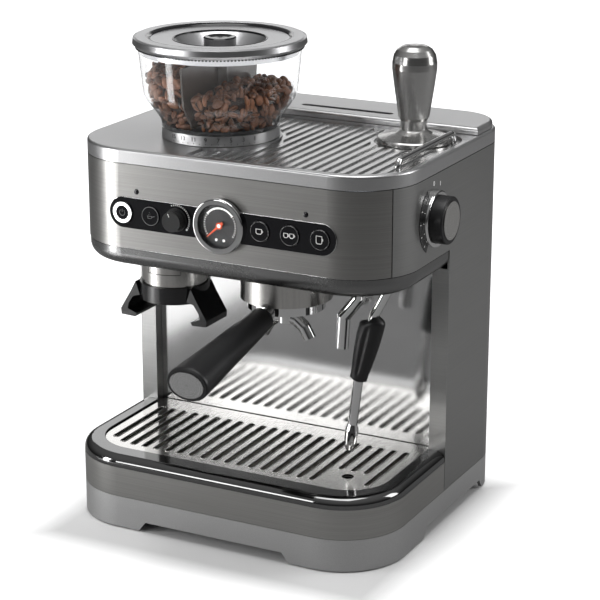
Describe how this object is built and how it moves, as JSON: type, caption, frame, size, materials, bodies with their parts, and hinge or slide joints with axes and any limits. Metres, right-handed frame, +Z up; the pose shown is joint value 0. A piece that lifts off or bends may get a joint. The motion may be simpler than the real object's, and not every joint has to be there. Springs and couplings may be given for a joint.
{
  "type": "espresso machine",
  "caption": "Pump espresso machine with a built-in burr grinder, glass bean hopper, steam wand, tamper, lock-in portafilter and pull-out drip tray.",
  "frame": {"origin": "middle of the machine's footprint on the counter, with the side dial, the portafilter's handle and the rear lead bush counted in", "axes": "+Z up, +X to the machine's right seen from the front, +Y from the controls to the back"},
  "size_m": [0.3012, 0.3305, 0.3915],
  "materials": {
    "ring_plastic": "satin light grey",
    "foot_rubber": "matt",
    "panel_steel": "dark satin",
    "rear_steel": "satin",
    "screw_steel": "bright",
    "black_plastic": "satin black",
    "mirror_steel": "polished",
    "trim_plastic": "dark grey gloss",
    "fascia_steel": "horizontal brush",
    "satin_silver": "satin silver",
    "tray_steel": "polished brush",
    "chrome": "mirror",
    "tank_plastic": "translucent",
    "clear_glass": "clear",
    "lid_satin": "satin silver",
    "gloss_black": "gloss",
    "burr_steel": "ground",
    "motor_steel": "satin",
    "cover_steel": "circular brush",
    "cast_alloy": "cast",
    "gasket_rubber": "matt",
    "basket_steel": "bright",
    "grip_black": "satin black",
    "brushed_disc": "brushed",
    "gauge_black": "matt",
    "needle_red": "orange red",
    "tamper_steel": "dark polish",
    "band_steel": "horizontal brush",
    "float_plastic": "red"
  },
  "bodies": {
    "machine": {"base_ring": "ring_plastic", "rubber_feet": "foot_rubber", "side_panel_left": "panel_steel", "side_panel_right": "panel_steel", "rear_panel": "rear_steel", "case_screws": "screw_steel", "cord_inlet": "black_plastic", "splash_panel": "mirror_steel", "head_underside": "trim_plastic", "fascia": "fascia_steel", "top_frame": "satin_silver", "cup_tray": "tray_steel", "cup_rail": "chrome", "burr_housing": "black_plastic", "grinder_motor": "motor_steel", "outlet_cover": "cover_steel", "portafilter_cradle": "black_plastic", "group_cover": "cover_steel", "group_head": "cast_alloy", "group_gasket": "gasket_rubber", "shower_screen": "basket_steel", "control_strip": "gloss_black", "gauge_bezel": "chrome", "gauge_face": "gauge_black", "gauge_lens": "clear_glass", "dial_escutcheon": "chrome", "thermoblock": "cast_alloy", "pump": "motor_steel", "hot_water_pipe": "chrome"},
    "portafilter": {"portafilter_body": "chrome", "filter_basket": "basket_steel", "twin_spout": "chrome", "handle_grip": "grip_black", "handle_cap": "brushed_disc"},
    "hopper": {"hopper_glass": "clear_glass", "hopper_ring": "satin_silver", "upper_burr": "burr_steel"},
    "hopper_lid": {"hopper_lid": "lid_satin", "hopper_lid_knob": "gloss_black"},
    "grinding_cone": {"lower_burr": "burr_steel"},
    "tamper": {"tamper_base": "tamper_steel", "tamper_handle": "tamper_steel"},
    "water_tank": {"water_tank": "tank_plastic"},
    "tank_lid": {"tank_lid": "satin_silver"},
    "drip_tray": {"drip_tray": "band_steel", "tray_rim": "chrome"},
    "tray_grille": {"tray_grille": "tray_steel"},
    "tray_float": {"tray_float": "float_plastic"},
    "steam_wand": {"wand_tube": "chrome", "wand_grip": "grip_black", "wand_tip": "chrome"},
    "steam_dial": {"steam_dial": "grip_black", "dial_cap": "brushed_disc"},
    "grind_dial": {"grind_dial": "gloss_black"},
    "gauge_needle": {"gauge_needle": "needle_red"},
    "power_button": {"power_button": "gloss_black"},
    "grind_button": {"grind_button": "gloss_black"},
    "brew_button_1": {"brew_button_1": "gloss_black"},
    "brew_button_2": {"brew_button_2": "gloss_black"},
    "brew_button_3": {"brew_button_3": "gloss_black"}
  },
  "joints": [
    {"name": "portafilter_turn", "type": "hinge", "parent": "machine", "child": "portafilter", "pos_m": [0.0144, -0.0046, 0.195], "axis": [0, 0, 1], "range_deg": [-40, 0]},
    {"name": "hopper_turn", "type": "hinge", "parent": "machine", "child": "hopper", "pos_m": [-0.0516, 0.0089, 0.31], "axis": [0, 0, 1], "range_deg": [-75, 75]},
    {"name": "hopper_lid_lift", "type": "slide", "parent": "hopper", "child": "hopper_lid", "axis": [0, 0, 1], "range_m": [0, 0.06]},
    {"name": "cone_spin", "type": "hinge", "parent": "machine", "child": "grinding_cone", "pos_m": [-0.0516, 0.0089, 0.27], "axis": [0, 0, 1], "continuous": true},
    {"name": "tamper_lift", "type": "slide", "parent": "machine", "child": "tamper", "axis": [0, 0, 1], "range_m": [0, 0.1]},
    {"name": "tank_lift", "type": "slide", "parent": "machine", "child": "water_tank", "axis": [0, 0, 1], "range_m": [0, 0.25]},
    {"name": "tank_lid_hinge", "type": "hinge", "parent": "water_tank", "child": "tank_lid", "pos_m": [-0.0076, 0.155, 0.3139], "axis": [-1, 0, 0], "range_deg": [0, 95]},
    {"name": "tray_slide", "type": "slide", "parent": "machine", "child": "drip_tray", "axis": [0, -1, 0], "range_m": [0, 0.13]},
    {"name": "grille_lift", "type": "slide", "parent": "drip_tray", "child": "tray_grille", "axis": [0, 0, 1], "range_m": [0, 0.012]},
    {"name": "float_rise", "type": "slide", "parent": "drip_tray", "child": "tray_float", "axis": [0, 0, 1], "range_m": [0, 0.008]},
    {"name": "wand_swing", "type": "hinge", "parent": "machine", "child": "steam_wand", "pos_m": [0.1134, -0.0186, 0.218], "axis": [0, 0, 1], "range_deg": [-30, 110]},
    {"name": "steam_dial_turn", "type": "hinge", "parent": "machine", "child": "steam_dial", "pos_m": [0.1424, 0.0079, 0.2654], "axis": [1, 0, 0], "range_deg": [-90, 90]},
    {"name": "grind_dial_turn", "type": "hinge", "parent": "machine", "child": "grind_dial", "pos_m": [-0.0458, -0.0766, 0.2611], "axis": [0, -1, 0], "range_deg": [-140, 140]},
    {"name": "needle_sweep", "type": "hinge", "parent": "machine", "child": "gauge_needle", "pos_m": [-0.0076, -0.0736, 0.2611], "axis": [0, 1, 0], "range_deg": [0, 264]},
    {"name": "power_button_press", "type": "slide", "parent": "machine", "child": "power_button", "axis": [0, 1, 0], "range_m": [0, 0.0012], "stiffness_N_per_m": 400},
    {"name": "grind_button_press", "type": "slide", "parent": "machine", "child": "grind_button", "axis": [0, 1, 0], "range_m": [0, 0.0012], "stiffness_N_per_m": 400},
    {"name": "brew_button_1_press", "type": "slide", "parent": "machine", "child": "brew_button_1", "axis": [0, 1, 0], "range_m": [0, 0.0012], "stiffness_N_per_m": 400},
    {"name": "brew_button_2_press", "type": "slide", "parent": "machine", "child": "brew_button_2", "axis": [0, 1, 0], "range_m": [0, 0.0012], "stiffness_N_per_m": 400},
    {"name": "brew_button_3_press", "type": "slide", "parent": "machine", "child": "brew_button_3", "axis": [0, 1, 0], "range_m": [0, 0.0012], "stiffness_N_per_m": 400}
  ]
}
